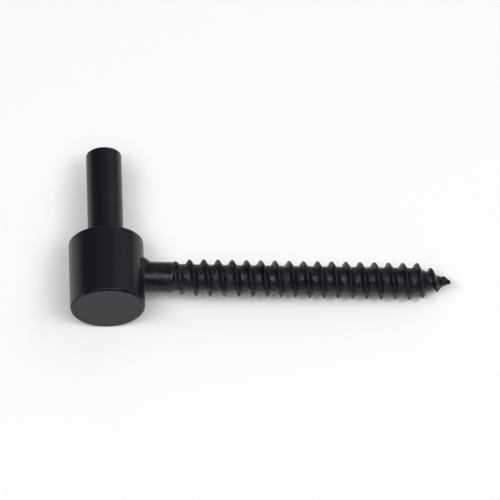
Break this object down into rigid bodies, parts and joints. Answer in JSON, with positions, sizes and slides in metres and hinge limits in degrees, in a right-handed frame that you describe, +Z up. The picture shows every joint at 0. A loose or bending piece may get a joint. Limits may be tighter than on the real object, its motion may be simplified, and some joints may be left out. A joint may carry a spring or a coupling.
{
  "type": "gate hinge pin",
  "caption": "Black welded gate pintle: an upright hinge pin on a round boss, with a lag screw fixed to the boss's side that threads into a wooden post and carries a gate's hinge eye.",
  "frame": {"origin": "on the hinge pin's axis, at the boss's shoulder, where the gate's hinge eye sits", "axes": "+Y along the hinge pin, away from the boss; +X the way the lag screw points; +Z up from the surface that the part lies on, at z = -0.009525"},
  "size_m": [0.097, 0.0453, 0.019],
  "materials": {
    "satin_black": "satin black coat on turned steel",
    "screw_black": "thinner, mottled black coat on rolled steel",
    "weld_black": "black coat over an uneven weld"
  },
  "bodies": {
    "root": {"pintle_pin": "satin_black", "lag_screw": "screw_black", "weld_bead": "weld_black"}
  },
  "joints": []
}
